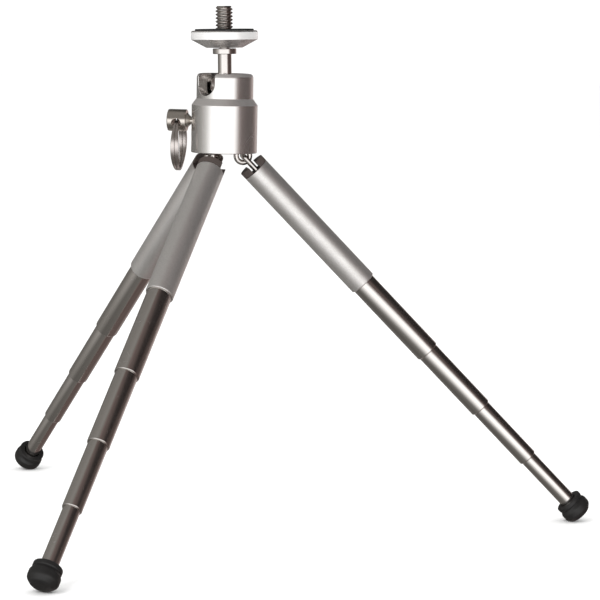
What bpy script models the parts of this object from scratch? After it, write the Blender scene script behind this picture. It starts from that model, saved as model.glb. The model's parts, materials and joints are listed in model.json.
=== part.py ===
"""Pocket table tripod: ball head with a quarter-inch camera screw, three five-section telescopic legs.

Units in this file are millimetres and degrees; MM turns them into the metres that Blender stores.
Head heights are measured up from the underside of the housing, leg distances down from the hinge.
"""
from math import asin, cos, pi, radians, sin, sqrt

import bmesh
import bpy
from mathutils import Vector

MM = 0.001

# Housing, a turned body in two diameters
HOUSING_RADIUS = 12.0
LOWER_HEIGHT = 17.4
SHOULDER_HEIGHT = 2.3
UPPER_RADIUS = 10.3
UPPER_HEIGHT = 9.1
SKIRT_WALL = 1.3
SKIRT_DEPTH = 2.6
EDGE_ROUND = 1.2
BASE_EDGE_ROUND = 0.5

# Ball, its socket and the pressure plunger under it
BALL_RADIUS = 5.7
BALL_BELOW_TOP = 5.2
SOCKET_CLEARANCE = 0.2
SOCKET_LIP_RADIUS = 4.9
SOCKET_FOOT_ANGLE = 20.0
SOCKET_BORE_RADIUS = 6.6
SOCKET_MOUTH_RADIUS = 5.6
NOTCH_WIDTH = 8.4
NOTCH_DEPTH = 8.05
NOTCH_DIRECTION = -141.0
DISH_RIM_RADIUS = 5.0
PLUNGER_TIP_RADIUS = 1.5

# Stem and everything it carries
STEM_RADIUS = 2.5
STEM_LEAN = 1.1
STEM_SIDE_LEAN = 1.1
STEM_VISIBLE = 7.05
STEM_IN_BALL = 2.9
TENON_RADIUS = 1.9
TENON_IN_SCREW = 2.8
COLLAR_RADIUS = 4.3
COLLAR_HEIGHT = 2.0
PLATE_RADIUS = 12.2
PLATE_RIM = 3.2
PLATE_RIM_CHAMFER = 0.5
PLATE_CONE_HEIGHT = 3.0
PLATE_NECK_RADIUS = 6.6
PAD_RADIUS = 10.7
PAD_THICKNESS = 0.9
PAD_RECESS = 0.5
SCREW_RADIUS = 3.175
SCREW_PITCH = 1.27
SCREW_ABOVE_PAD = 8.3
THREAD_DEPTH = 0.7

# Clamp screw and the split ring in its head
CLAMP_DIRECTION = 164.0
CLAMP_HEIGHT = 11.4
CLAMP_SHANK_RADIUS = 1.4
CLAMP_TIP_INSET = 1.2
CLAMP_NECK_RADIUS = 2.8
CLAMP_NECK_LENGTH = 1.9
KNOB_RADIUS = 4.0
KNOB_LENGTH = 7.0
KNOB_HOLE_RADIUS = 1.6
KNOB_HOLE_FROM_END = 3.6
KNOB_TURN = -14.0
RING_RADIUS = 9.4
RING_HALF_DEPTH = 0.5
RING_HALF_WIDTH = 1.15

# Base plug and leg hinges
BASE_PLUG_THICKNESS = 4.0
BASE_PLUG_EDGE = 0.85
HINGE_CIRCLE = 6.98
HINGE_DROP = 1.07
EYE_RADIUS = 2.45
EYE_WIRE_RADIUS = 1.0
EYE_SHANK_RADIUS = 1.2
LINK_WIRE_RADIUS = 0.95
LINK_SIDE_GAP = 0.3
LINK_BEND_RADIUS = 1.2
LINK_LENGTH = 10.0

# Legs
SPLAY = 44.3
LEG_DIRECTIONS = {"right": 0.0, "front": -120.0, "rear": 120.0}
PLUG_TOP = 4.3
PLUG_EXPOSED = 2.7
PLUG_IN_TUBE = 8.0
PLUG_SLOT_WIDTH = 3.4
TOP_TUBE_RADIUS = 5.1
TUBE_WALLS = (0.4, 0.3, 0.3, 0.3, 0.35)
TUBE_VISIBLE = (58.0, 35.5, 29.5, 26.5, 22.5)
TUBE_GAP = 0.2
LIP_LENGTH = 1.0
NECK_LENGTH = 3.5
NECK_INSET = 0.3
SLEEVE_CLEARANCE = 0.08
LIP_CLEARANCE = 0.06
STOP_GAP = 0.3
FOOT_LENGTH = 8.0
FOOT_COLLAR_RADIUS = 5.15
FOOT_BULB_RADIUS = 5.55
FOOT_COLLAR_HEIGHT = 1.5
TUBE_IN_FOOT = 4.0

# Clearances between seated pieces
SEAT_GAP = 0.3
FIT_GAP = 0.2

# Mesh fineness
HOUSING_SIDES = 40
PLATE_SIDES = 40
SMALL_SIDES = 20
LEG_SIDES = 16
BALL_STEPS = 6
RING_SIDES = 32
WIRE_SIDES = 8

# Heights and radii that follow from the sizes above
HOUSING_HEIGHT = LOWER_HEIGHT + SHOULDER_HEIGHT + UPPER_HEIGHT
BALL_HEIGHT = HOUSING_HEIGHT - BALL_BELOW_TOP
SOCKET_RADIUS = BALL_RADIUS + SOCKET_CLEARANCE
PLUG_SEAT_TOP = SKIRT_DEPTH + BASE_PLUG_THICKNESS + SEAT_GAP
PLUG_BORE_RADIUS = HINGE_CIRCLE + EYE_SHANK_RADIUS + BASE_PLUG_EDGE
COLLAR_BASE = HOUSING_HEIGHT + STEM_VISIBLE - BALL_HEIGHT
PLATE_BASE = COLLAR_BASE + COLLAR_HEIGHT + SEAT_GAP
RIM_TOP = PLATE_BASE + PLATE_CONE_HEIGHT + PLATE_RIM
PAD_BASE = RIM_TOP - PAD_RECESS + FIT_GAP
PAD_TOP = PAD_BASE + PAD_THICKNESS
SCREW_TOP = PAD_TOP + SCREW_ABOVE_PAD
KNOB_START = HOUSING_RADIUS + CLAMP_NECK_LENGTH
KNOB_END = KNOB_START + KNOB_LENGTH
KNOB_HOLE_AT = KNOB_END - KNOB_HOLE_FROM_END


def tube_radii():
    """Outer radius of each leg tube, every one nesting in the one above with the same gap."""
    radii = [TOP_TUBE_RADIUS]
    for wall in TUBE_WALLS[:-1]:
        radii.append(radii[-1] - wall - TUBE_GAP)
    return radii


def tube_tops():
    """Distance from the hinge to the visible top of each tube, and last to the top of the foot."""
    tops = [PLUG_TOP + PLUG_EXPOSED]
    for visible in TUBE_VISIBLE:
        tops.append(tops[-1] + visible)
    return tops


def clear_scene():
    for old in list(bpy.data.objects):
        bpy.data.objects.remove(old, do_unlink=True)


def arc(centre, radius, start, end, steps):
    """Points along an arc in the radius and height plane, angles in degrees from the radius axis."""
    points = []
    for step in range(steps + 1):
        angle = radians(start + (end - start) * step / steps)
        points.append((centre[0] + radius * cos(angle), centre[1] + radius * sin(angle)))
    return points


def turned_mesh(name, profile, sides, closed=False):
    """Spin a profile of (radius, height) points about Z; an open profile starts and ends on the axis."""
    shape = bmesh.new()
    verts = [shape.verts.new((r * MM, 0.0, h * MM)) for r, h in profile]
    edges = [shape.edges.new(pair) for pair in zip(verts, verts[1:])]
    if closed:
        edges.append(shape.edges.new((verts[-1], verts[0])))
    bmesh.ops.spin(shape, geom=verts + edges, cent=(0, 0, 0), axis=(0, 0, 1), angle=2 * pi, steps=sides)
    bmesh.ops.remove_doubles(shape, verts=shape.verts, dist=0.001 * MM)
    bmesh.ops.recalc_face_normals(shape, faces=shape.faces)
    mesh = bpy.data.meshes.new(name)
    shape.to_mesh(mesh)
    shape.free()
    mesh.shade_smooth()
    mesh.set_sharp_from_angle(angle=radians(35))
    return mesh


def box_mesh(name, low, high):
    shape = bmesh.new()
    bmesh.ops.create_cube(shape, size=1.0)
    for vert in shape.verts:
        for axis in range(3):
            vert.co[axis] = (low[axis] if vert.co[axis] < 0 else high[axis]) * MM
    mesh = bpy.data.meshes.new(name)
    shape.to_mesh(mesh)
    shape.free()
    return mesh


def rod_mesh(name, radius, low, high, sides=SMALL_SIDES):
    return turned_mesh(name, [(0, low), (radius, low), (radius, high), (0, high)], sides)


def torus_mesh(name, radius, wire, ring_sides, wire_sides):
    profile = arc((radius, 0), wire, 0, 360 - 360 / wire_sides, wire_sides - 1)
    return turned_mesh(name, profile, ring_sides, closed=True)


def finish_material(name, colour, roughness, metallic):
    material = bpy.data.materials.new(name)
    material.use_nodes = True
    shader = material.node_tree.nodes["Principled BSDF"]
    shader.inputs["Base Color"].default_value = (*colour, 1.0)
    shader.inputs["Roughness"].default_value = roughness
    shader.inputs["Metallic"].default_value = metallic
    return material


FINISHES = {
    "satin_aluminium": ((0.72, 0.72, 0.71), 0.32, 1.0),
    "polished_steel": ((0.80, 0.79, 0.78), 0.12, 1.0),
    "silver_lacquer": ((0.66, 0.66, 0.65), 0.38, 0.8),
    "nickel": ((0.70, 0.69, 0.66), 0.16, 1.0),
    "brass": ((0.72, 0.55, 0.26), 0.35, 1.0),
    "dark_plastic": ((0.06, 0.045, 0.04), 0.5, 0.0),
    "black_rubber": ((0.02, 0.02, 0.02), 0.6, 0.0),
}


def empty(name, parent=None, location=(0, 0, 0), rotation=(0, 0, 0)):
    holder = bpy.data.objects.new(name, None)
    holder.empty_display_size = 5 * MM
    place(holder, parent, location, rotation)
    return holder


def place(thing, parent, location, rotation):
    bpy.context.scene.collection.objects.link(thing)
    thing.parent = parent
    thing.location = Vector(location) * MM
    thing.rotation_euler = [radians(angle) for angle in rotation]


def piece(name, mesh, finish, parent, location=(0, 0, 0), rotation=(0, 0, 0)):
    """A sub-part of the tripod, in its own object with its own material."""
    thing = bpy.data.objects.new(name, mesh)
    place(thing, parent, location, rotation)
    if not mesh.materials:
        mesh.materials.append(None)
    thing.material_slots[0].link = "OBJECT"
    thing.material_slots[0].material = finish_material(name, *FINISHES[finish])
    return thing


def helper(name, mesh, parent, location=(0, 0, 0), rotation=(0, 0, 0)):
    """A tool body for a Boolean, which is not part of the tripod."""
    thing = bpy.data.objects.new(name, mesh)
    place(thing, parent, location, rotation)
    thing.hide_render = True
    thing.display_type = "WIRE"
    return thing


def combine(target, tool, operation):
    change = target.modifiers.new(tool.name, "BOOLEAN")
    change.operation = operation
    change.solver = "EXACT"
    change.object = tool


# Head pieces that do not move


def housing_profile():
    """Outline of the housing wall from the skirt up the outside and back down the bore."""
    shoulder_top = LOWER_HEIGHT + SHOULDER_HEIGHT
    lip_rise = sqrt(SOCKET_RADIUS ** 2 - SOCKET_LIP_RADIUS ** 2)
    lip_angle = asin(lip_rise / SOCKET_RADIUS) * 180 / pi
    skirt = HOUSING_RADIUS - SKIRT_WALL
    outline = [(skirt, 0), (HOUSING_RADIUS - BASE_EDGE_ROUND, 0), (HOUSING_RADIUS, BASE_EDGE_ROUND)]
    outline += [(HOUSING_RADIUS, LOWER_HEIGHT), (UPPER_RADIUS, shoulder_top)]
    top_edge = (UPPER_RADIUS - EDGE_ROUND, HOUSING_HEIGHT - EDGE_ROUND)
    outline += arc(top_edge, EDGE_ROUND, 0, 90, 3)
    outline += [(SOCKET_MOUTH_RADIUS, HOUSING_HEIGHT)]
    outline += arc((0, BALL_HEIGHT), SOCKET_RADIUS, lip_angle, SOCKET_FOOT_ANGLE, BALL_STEPS // 2)
    outline += [(SOCKET_BORE_RADIUS, BALL_HEIGHT + SOCKET_RADIUS * sin(radians(SOCKET_FOOT_ANGLE)))]
    outline += [(SOCKET_BORE_RADIUS, PLUG_SEAT_TOP), (PLUG_BORE_RADIUS, PLUG_SEAT_TOP)]
    outline += [(PLUG_BORE_RADIUS, SKIRT_DEPTH), (skirt, SKIRT_DEPTH)]
    return outline


def notch_mesh():
    """A U-shaped bar reaching out from the ball, open at the top, that the stem can drop into."""
    half = NOTCH_WIDTH / 2
    floor = HOUSING_HEIGHT - NOTCH_DEPTH
    outline = [(-half, HOUSING_HEIGHT + 2)]
    outline += arc((0, floor + half), half, 180, 360, 10)
    outline += [(half, HOUSING_HEIGHT + 2)]
    shape = bmesh.new()
    face = shape.faces.new([shape.verts.new((0, y * MM, z * MM)) for y, z in outline])
    reach = Vector(((HOUSING_RADIUS + 2) * MM, 0, 0))
    grown = bmesh.ops.extrude_face_region(shape, geom=[face])
    bmesh.ops.translate(shape, vec=reach, verts=[v for v in grown["geom"] if isinstance(v, bmesh.types.BMVert)])
    bmesh.ops.recalc_face_normals(shape, faces=shape.faces)
    mesh = bpy.data.meshes.new("notch_cutter")
    shape.to_mesh(mesh)
    shape.free()
    return mesh


def make_housing(root):
    housing = piece("housing", turned_mesh("housing", housing_profile(), HOUSING_SIDES, closed=True),
                    "satin_aluminium", root)
    notch = helper("notch_cutter", notch_mesh(), root, rotation=(0, 0, NOTCH_DIRECTION))
    bore = rod_mesh("clamp_bore", CLAMP_SHANK_RADIUS + FIT_GAP, 0, HOUSING_RADIUS + 2)
    drill = helper("clamp_bore_cutter", bore, root, (0, 0, CLAMP_HEIGHT), (0, 90, CLAMP_DIRECTION))
    combine(housing, notch, "DIFFERENCE")
    combine(housing, drill, "DIFFERENCE")


def make_base_plug(root):
    radius = PLUG_BORE_RADIUS - FIT_GAP
    disc = rod_mesh("base_plug", radius, SKIRT_DEPTH, SKIRT_DEPTH + BASE_PLUG_THICKNESS, HOUSING_SIDES)
    plug = piece("base_plug", disc, "satin_aluminium", root)
    drill_mesh = rod_mesh("eye_bore", EYE_SHANK_RADIUS + FIT_GAP, SKIRT_DEPTH - 1, PLUG_SEAT_TOP + 1)
    for side, direction in LEG_DIRECTIONS.items():
        angle = radians(direction)
        spot = (HINGE_CIRCLE * cos(angle), HINGE_CIRCLE * sin(angle), 0)
        combine(plug, helper("eye_bore_cutter_" + side, drill_mesh, root, spot), "DIFFERENCE")


def make_plunger(root):
    """Pusher under the ball: dished on top, coned below where the clamp screw's point lifts it."""
    radius = SOCKET_BORE_RADIUS - FIT_GAP
    dish = BALL_RADIUS + FIT_GAP
    rim_angle = -asin(sqrt(dish ** 2 - DISH_RIM_RADIUS ** 2) / dish) * 180 / pi
    tip = CLAMP_HEIGHT + CLAMP_SHANK_RADIUS + SEAT_GAP - (CLAMP_TIP_INSET + CLAMP_SHANK_RADIUS - PLUNGER_TIP_RADIUS)
    outline = [(0, tip), (PLUNGER_TIP_RADIUS, tip), (radius, tip + radius - PLUNGER_TIP_RADIUS)]
    outline += [(radius, BALL_HEIGHT - sqrt(dish ** 2 - DISH_RIM_RADIUS ** 2))]
    outline += arc((0, BALL_HEIGHT), dish, rim_angle, -90, BALL_STEPS // 2)
    outline[-1] = (0, outline[-1][1])
    piece("pressure_plunger", turned_mesh("pressure_plunger", outline, SMALL_SIDES), "brass", root)


# Head pieces that tilt and turn with the ball, in a frame on the stem's axis with its origin in the ball


def make_ball(pivot):
    bore = STEM_RADIUS + FIT_GAP
    mouth_angle = asin(sqrt(BALL_RADIUS ** 2 - bore ** 2) / BALL_RADIUS) * 180 / pi
    outline = arc((0, 0), BALL_RADIUS, -90, mouth_angle, 2 * BALL_STEPS)
    outline[0] = (0, -BALL_RADIUS)
    outline += [(bore, -STEM_IN_BALL - SEAT_GAP), (0, -STEM_IN_BALL - SEAT_GAP)]
    piece("pivot_ball", turned_mesh("pivot_ball", outline, SMALL_SIDES), "polished_steel", pivot)


def make_stem(pivot):
    """Stem from the ball up to the plate, ending in a thin tenon that holds the camera screw."""
    collar_top = COLLAR_BASE + COLLAR_HEIGHT
    tenon_top = PLATE_BASE + TENON_IN_SCREW
    outline = [(0, -STEM_IN_BALL), (STEM_RADIUS, -STEM_IN_BALL), (STEM_RADIUS, collar_top)]
    outline += [(TENON_RADIUS, collar_top), (TENON_RADIUS, tenon_top), (0, tenon_top)]
    piece("ball_stem", turned_mesh("ball_stem", outline, SMALL_SIDES), "polished_steel", pivot)
    bore = STEM_RADIUS + FIT_GAP
    ring = [(bore, COLLAR_BASE), (COLLAR_RADIUS, COLLAR_BASE), (COLLAR_RADIUS, collar_top), (bore, collar_top)]
    piece("stem_collar", turned_mesh("stem_collar", ring, SMALL_SIDES, closed=True), "polished_steel", pivot)


def make_plate(pivot):
    bore = SCREW_RADIUS + FIT_GAP
    rim_base = PLATE_BASE + PLATE_CONE_HEIGHT
    recess = PAD_RADIUS + FIT_GAP
    outline = [(bore, PLATE_BASE), (PLATE_NECK_RADIUS, PLATE_BASE), (PLATE_RADIUS, rim_base)]
    outline += [(PLATE_RADIUS, RIM_TOP - PLATE_RIM_CHAMFER), (PLATE_RADIUS - PLATE_RIM_CHAMFER, RIM_TOP)]
    outline += [(recess, RIM_TOP), (recess, RIM_TOP - PAD_RECESS), (bore, RIM_TOP - PAD_RECESS)]
    piece("top_plate", turned_mesh("top_plate", outline, PLATE_SIDES, closed=True), "satin_aluminium", pivot)
    pad = [(bore, PAD_BASE), (PAD_RADIUS, PAD_BASE), (PAD_RADIUS, PAD_TOP), (bore, PAD_TOP)]
    piece("plate_pad", turned_mesh("plate_pad", pad, PLATE_SIDES, closed=True), "black_rubber", pivot)


def make_camera_screw(pivot):
    """Quarter-inch screw on the stem's end: a plain foot in the plate, then V-shaped thread rings."""
    base = PLATE_BASE + FIT_GAP
    bore = TENON_RADIUS + FIT_GAP
    bore_top = PLATE_BASE + TENON_IN_SCREW + SEAT_GAP
    root_radius = SCREW_RADIUS - THREAD_DEPTH
    outline = [(0, bore_top), (bore, bore_top), (bore, base), (SCREW_RADIUS, base), (SCREW_RADIUS, PAD_BASE)]
    groove = PAD_BASE + SCREW_PITCH / 2
    while groove + SCREW_PITCH < SCREW_TOP:
        outline += [(root_radius, groove), (SCREW_RADIUS, groove + SCREW_PITCH / 2)]
        groove += SCREW_PITCH
    outline += [(root_radius, SCREW_TOP), (0, SCREW_TOP)]
    piece("camera_screw", turned_mesh("camera_screw", outline, SMALL_SIDES), "polished_steel", pivot)


# Clamp screw and ring, in a frame on the screw's axis whose Z points out of the housing


def make_clamp(frame):
    face = HOUSING_RADIUS + SEAT_GAP
    outline = [(0, CLAMP_TIP_INSET), (CLAMP_SHANK_RADIUS, CLAMP_TIP_INSET + CLAMP_SHANK_RADIUS)]
    outline += [(CLAMP_SHANK_RADIUS, face), (CLAMP_NECK_RADIUS, KNOB_START)]
    outline += [(KNOB_RADIUS - 0.3, KNOB_START), (KNOB_RADIUS, KNOB_START + 0.3), (KNOB_RADIUS, KNOB_END - 0.6)]
    outline += [(KNOB_RADIUS - 0.6, KNOB_END - 0.1), (0, KNOB_END)]
    screw = piece("clamp_screw", turned_mesh("clamp_screw", outline, SMALL_SIDES), "polished_steel", frame)
    hole = rod_mesh("knob_hole", KNOB_HOLE_RADIUS, -KNOB_RADIUS - 1, KNOB_RADIUS + 1)
    turned = empty("knob_turn", frame, (0, 0, KNOB_HOLE_AT), (0, 0, KNOB_TURN))
    combine(screw, helper("knob_hole_cutter", hole, turned, rotation=(90, 0, 0)), "DIFFERENCE")
    return turned


def make_ring(turned):
    """The ring hangs by its bow in the knob's hole; its oval section stands for two turns of wire."""
    bow = RING_RADIUS - sqrt(RING_RADIUS ** 2 - KNOB_RADIUS ** 2)
    hang = RING_RADIUS - bow / 2
    centre = empty("ring_centre", turned, (hang, 0, 0))
    unit = arc((0, 0), 1, 0, 360 - 360 / WIRE_SIDES, WIRE_SIDES - 1)
    section = [(RING_RADIUS + RING_HALF_DEPTH * x, RING_HALF_WIDTH * y) for x, y in unit]
    piece("split_ring", turned_mesh("split_ring", section, RING_SIDES, closed=True), "polished_steel", centre)


# Legs, in a frame whose origin is the hinge, whose Y is the hinge axis and whose -Z runs down the leg


def eye_meshes():
    ring = torus_mesh("leg_eye", EYE_RADIUS, EYE_WIRE_RADIUS, SMALL_SIDES, WIRE_SIDES)
    shank_top = SKIRT_DEPTH + BASE_PLUG_THICKNESS + HINGE_DROP - FIT_GAP
    shank = rod_mesh("eye_shank", EYE_SHANK_RADIUS, EYE_RADIUS, shank_top, WIRE_SIDES)
    return ring, shank


def link_curve():
    """Stirrup of round wire: a bar through the eye and two prongs down into the leg plug."""
    side = EYE_WIRE_RADIUS + LINK_SIDE_GAP + LINK_WIRE_RADIUS
    corner = LINK_BEND_RADIUS
    right = arc((side - corner, -corner), corner, 0, 90, 3)
    left = [(-x, z) for x, z in reversed(right)]
    route = [(side, -LINK_LENGTH)] + right + left + [(-side, -LINK_LENGTH)]
    curve = bpy.data.curves.new("leg_link", "CURVE")
    curve.dimensions = "3D"
    curve.bevel_depth = LINK_WIRE_RADIUS * MM
    curve.bevel_resolution = 2
    curve.render_resolution_u = 0
    curve.use_fill_caps = True
    spline = curve.splines.new("POLY")
    spline.points.add(len(route) - 1)
    for point, (y, z) in zip(spline.points, route):
        point.co = (0, y * MM, z * MM, 1)
    return curve


def plug_mesh():
    inner = TOP_TUBE_RADIUS - TUBE_WALLS[0] - FIT_GAP / 2
    shoulder = PLUG_TOP + PLUG_EXPOSED - FIT_GAP / 2
    end = PLUG_TOP + PLUG_EXPOSED + PLUG_IN_TUBE
    outline = [(0, -PLUG_TOP), (TOP_TUBE_RADIUS - 0.3, -PLUG_TOP), (TOP_TUBE_RADIUS, -PLUG_TOP - 0.3)]
    outline += [(TOP_TUBE_RADIUS, -shoulder), (inner, -shoulder), (inner, -end), (0, -end)]
    return turned_mesh("leg_plug", outline, LEG_SIDES)


def tube_mesh(index):
    """A leg tube about its own top: a rolled lip at the bottom, a neck for the sleeve at the top."""
    radius = tube_radii()[index]
    bore = radius - TUBE_WALLS[index]
    visible = TUBE_VISIBLE[index]
    first = index == 0
    last = index == len(TUBE_VISIBLE) - 1
    if first:
        outline = [(radius, 0)]
        start = [(bore, 0)]
    else:
        overlap = LIP_LENGTH + STOP_GAP + NECK_LENGTH
        neck = radius - NECK_INSET
        neck_bore = neck - TUBE_WALLS[index]
        neck_base = overlap - NECK_LENGTH
        outline = [(neck, overlap), (neck, neck_base), (radius, neck_base)]
        start = [(bore, neck_base - TUBE_WALLS[index]), (neck_bore, neck_base), (neck_bore, overlap)]
    if last:
        outline += [(radius, -visible - TUBE_IN_FOOT)]
        end = [(bore, -visible - TUBE_IN_FOOT)]
    else:
        mouth = tube_radii()[index + 1] + LIP_CLEARANCE
        outline += [(radius, -visible + 0.5), (radius - 0.2, -visible)]
        end = [(mouth, -visible), (mouth, -visible + LIP_LENGTH), (bore, -visible + LIP_LENGTH)]
    return turned_mesh("tube_%d" % (index + 1), outline + end + start, LEG_SIDES, closed=True)


def sleeve_mesh(index):
    """Friction sleeve on the neck of a tube, sliding in the tube above it."""
    radius = tube_radii()[index]
    outer = tube_radii()[index - 1] - TUBE_WALLS[index - 1] - SLEEVE_CLEARANCE
    inner = radius - NECK_INSET + SLEEVE_CLEARANCE
    top = LIP_LENGTH + STOP_GAP + NECK_LENGTH
    base = top - NECK_LENGTH + SLEEVE_CLEARANCE
    ring = [(inner, base), (outer, base), (outer, top), (inner, top)]
    return turned_mesh("sleeve_%d" % (index + 1), ring, LEG_SIDES, closed=True)


def foot_mesh():
    """Rubber foot: a collar, a shallow groove, a bulb and a domed sole, blind-bored for the tube."""
    bore = tube_radii()[-1] + FIT_GAP
    groove = FOOT_COLLAR_RADIUS - 0.3
    sole = FOOT_LENGTH - 1.7
    outline = [(0, -TUBE_IN_FOOT - SEAT_GAP), (bore, -TUBE_IN_FOOT - SEAT_GAP), (bore, 0)]
    outline += [(FOOT_COLLAR_RADIUS - 0.3, 0), (FOOT_COLLAR_RADIUS, -0.35), (FOOT_COLLAR_RADIUS, -FOOT_COLLAR_HEIGHT)]
    outline += [(groove, -FOOT_COLLAR_HEIGHT - 0.4), (FOOT_BULB_RADIUS, -FOOT_COLLAR_HEIGHT - 1.9)]
    outline += [(FOOT_BULB_RADIUS, -FOOT_LENGTH + 3), (FOOT_BULB_RADIUS - 0.6, -sole)]
    outline += [(FOOT_BULB_RADIUS - 1.7, -FOOT_LENGTH + 0.7), (0, -FOOT_LENGTH)]
    return turned_mesh("foot", outline, LEG_SIDES)


def make_legs(root):
    ring, shank = eye_meshes()
    link = link_curve()
    plug = plug_mesh()
    slot = box_mesh("plug_slot", (-PLUG_SLOT_WIDTH / 2, -TOP_TUBE_RADIUS - 1, -PLUG_TOP - PLUG_EXPOSED),
                    (PLUG_SLOT_WIDTH / 2, TOP_TUBE_RADIUS + 1, -PLUG_TOP + 1))
    prong_side = EYE_WIRE_RADIUS + LINK_SIDE_GAP + LINK_WIRE_RADIUS
    prong_bore = rod_mesh("prong_bore", LINK_WIRE_RADIUS + FIT_GAP, -LINK_LENGTH - SEAT_GAP, -PLUG_TOP, WIRE_SIDES)
    tubes = [tube_mesh(index) for index in range(len(TUBE_VISIBLE))]
    sleeves = [sleeve_mesh(index) for index in range(1, len(TUBE_VISIBLE))]
    foot = foot_mesh()
    tops = tube_tops()
    for side, direction in LEG_DIRECTIONS.items():
        angle = radians(direction)
        spot = (HINGE_CIRCLE * cos(angle), HINGE_CIRCLE * sin(angle), -HINGE_DROP)
        upright = empty("eye_frame_" + side, root, spot, (0, 0, direction))
        eye = piece("leg_eye_" + side, ring, "polished_steel", upright, rotation=(90, 0, 0))
        combine(eye, helper("eye_shank_tool_" + side, shank, upright), "UNION")
        hinge = empty("leg_hinge_" + side, root, spot, (0, -SPLAY, direction))
        piece("leg_link_" + side, link, "polished_steel", hinge)
        body = piece("leg_plug_" + side, plug, "dark_plastic", hinge)
        combine(body, helper("plug_slot_cutter_" + side, slot, hinge), "DIFFERENCE")
        for number, offset in enumerate((-prong_side, prong_side)):
            drill = helper("prong_cutter_%s_%d" % (side, number), prong_bore, hinge, (0, offset, 0))
            combine(body, drill, "DIFFERENCE")
        for index, mesh in enumerate(tubes):
            finish = "silver_lacquer" if index == 0 else "nickel"
            piece("tube_%d_%s" % (index + 1, side), mesh, finish, hinge, (0, 0, -tops[index]))
        for index, mesh in enumerate(sleeves, start=1):
            piece("sleeve_%d_%s" % (index + 1, side), mesh, "brass", hinge, (0, 0, -tops[index]))
        piece("foot_" + side, foot, "black_rubber", hinge, (0, 0, -tops[-1]))


def stand_on_floor(root):
    """Move the root so that the tripod's box is centred on the origin and its feet are at zero."""
    bpy.context.view_layer.update()
    graph = bpy.context.evaluated_depsgraph_get()
    points = []
    for thing in bpy.data.objects:
        if thing.type == "EMPTY" or thing.hide_render:
            continue
        seen = thing.evaluated_get(graph)
        points += [thing.matrix_world @ vert.co for vert in seen.to_mesh().vertices]
        seen.to_mesh_clear()
    low = Vector([min(p[axis] for p in points) for axis in range(3)])
    high = Vector([max(p[axis] for p in points) for axis in range(3)])
    root.location = (-(low.x + high.x) / 2, -(low.y + high.y) / 2, -low.z)
    bpy.context.view_layer.update()


def main():
    clear_scene()
    root = empty("tripod")
    make_housing(root)
    make_base_plug(root)
    make_plunger(root)
    tilt = empty("ball_centre", root, (0, 0, BALL_HEIGHT), (0, 0, NOTCH_DIRECTION))
    pivot = empty("stem_axis", tilt, (0, 0, 0), (STEM_SIDE_LEAN, STEM_LEAN, 0))
    make_ball(pivot)
    make_stem(pivot)
    make_plate(pivot)
    make_camera_screw(pivot)
    clamp = empty("clamp_axis", root, (0, 0, CLAMP_HEIGHT), (0, 90, CLAMP_DIRECTION))
    turned = make_clamp(clamp)
    make_ring(turned)
    make_legs(root)
    stand_on_floor(root)


main()
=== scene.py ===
import json
from math import asin, atan2, cos, degrees, hypot, pi, radians, sin, sqrt, tan

import bmesh
import bpy
from mathutils import Matrix, Vector


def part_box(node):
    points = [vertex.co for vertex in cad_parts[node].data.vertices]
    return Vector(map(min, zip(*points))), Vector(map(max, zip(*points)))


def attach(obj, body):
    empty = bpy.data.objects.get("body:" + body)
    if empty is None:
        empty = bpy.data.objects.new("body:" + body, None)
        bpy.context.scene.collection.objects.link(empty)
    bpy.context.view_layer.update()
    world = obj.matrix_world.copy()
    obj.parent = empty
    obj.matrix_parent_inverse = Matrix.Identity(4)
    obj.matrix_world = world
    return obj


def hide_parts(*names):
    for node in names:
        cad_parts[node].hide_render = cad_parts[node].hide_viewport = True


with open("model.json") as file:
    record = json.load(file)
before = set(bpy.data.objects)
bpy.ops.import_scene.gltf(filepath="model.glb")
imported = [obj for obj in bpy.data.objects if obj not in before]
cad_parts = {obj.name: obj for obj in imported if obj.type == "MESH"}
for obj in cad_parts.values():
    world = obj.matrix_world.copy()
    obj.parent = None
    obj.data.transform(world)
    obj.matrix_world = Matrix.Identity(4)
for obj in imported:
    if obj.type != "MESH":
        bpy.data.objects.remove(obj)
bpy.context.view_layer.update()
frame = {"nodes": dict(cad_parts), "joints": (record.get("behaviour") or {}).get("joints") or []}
print("frame loaded,", len(frame["nodes"]), "nodes")

mm = 0.001
joints = {joint["name"]: joint for joint in frame["joints"]}
sides = ("right", "front", "rear")


# places: each piece is made in millimetres about its own axis, then set down on a joint of the frame

def placeAt(origin, up, across):
    zAxis = Vector(up).normalized()
    yAxis = Vector(across)
    yAxis = (yAxis - zAxis * yAxis.dot(zAxis)).normalized()
    place = Matrix((yAxis.cross(zAxis), yAxis, zAxis)).transposed().to_4x4()
    place.translation = Vector(origin)
    return place


def moved(place, offset, turn):
    return place @ Matrix.Translation(Vector(offset) * mm) @ Matrix.Rotation(radians(turn), 4, "X")


def measure(node, place):  # lowest, highest and widest of a node about a place, in millimetres
    back = place.inverted()
    points = [back @ vert.co for vert in frame["nodes"][node].data.vertices]
    heights = [point.z / mm for point in points]
    return min(heights), max(heights), max(hypot(point.x, point.y) for point in points) / mm


housingLow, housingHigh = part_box("housing")
headPlace = placeAt(((housingLow.x + housingHigh.x) / 2, (housingLow.y + housingHigh.y) / 2, housingLow.z),
                    (0, 0, 1), (0, 1, 0))
stemPlace = placeAt(joints["head_tilt"]["pos_m"], joints["head_pan"]["axis"], joints["head_tilt"]["axis"])
clampPlace = placeAt(joints["clamp_turn"]["pos_m"], joints["clamp_turn"]["axis"],
                     -Vector(joints["ring_swing"]["axis"]))
legPlaces = {side: placeAt(joints["fold_" + side]["pos_m"], joints["slide_2_" + side]["axis"],
                           joints["fold_" + side]["axis"]) for side in sides}
eyePlaces = {side: placeAt(joints["fold_" + side]["pos_m"], (0, 0, 1), joints["fold_" + side]["axis"])
             for side in sides}


# nodes that the world and the materials share

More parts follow.
